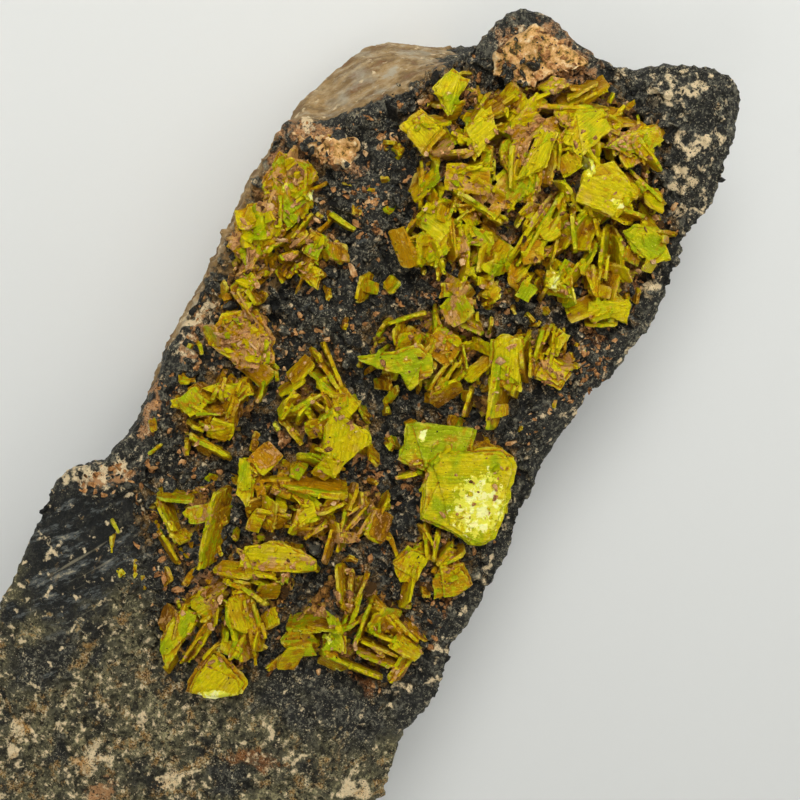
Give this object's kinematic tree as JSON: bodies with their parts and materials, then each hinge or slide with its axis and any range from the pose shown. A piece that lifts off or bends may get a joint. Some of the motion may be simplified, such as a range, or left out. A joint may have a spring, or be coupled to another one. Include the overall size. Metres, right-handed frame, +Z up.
{
  "type": "autunite specimen",
  "caption": "Mineral specimen lying on its flat back: yellow-green platy autunite crystals and tan clay crusts on a long block of dark, fine-grained rock.",
  "frame": {"origin": "on the resting plane, under the middle of the specimen's outline", "axes": "+X along the block towards its crystal-rich end, +Y across it towards the long edge with the step, +Z up, out of the crystal-bearing face"},
  "size_m": [0.0788, 0.034, 0.0259],
  "materials": {
    "rock": "rough broken, black and fine-grained with cream, tan and rusty patches",
    "autunite": "pearly to glassy thin plates, yellow-green with brown stained edges",
    "clay": "earthy, dull and crumbly"
  },
  "bodies": {
    "root": {"rock_matrix": "rock", "clay_crust_east_end": "clay", "clay_crust_north_edge": "clay", "autunite_west_rosette": "autunite", "autunite_north_west_books": "autunite", "autunite_south_west_fan": "autunite", "autunite_south_fan": "autunite", "autunite_big_plates": "autunite", "autunite_centre_books": "autunite", "autunite_centre_star": "autunite", "autunite_north_blades": "autunite", "autunite_north_mass": "autunite", "autunite_middle_plates": "autunite", "autunite_south_east_books": "autunite", "autunite_east_mass": "autunite"}
  },
  "joints": []
}
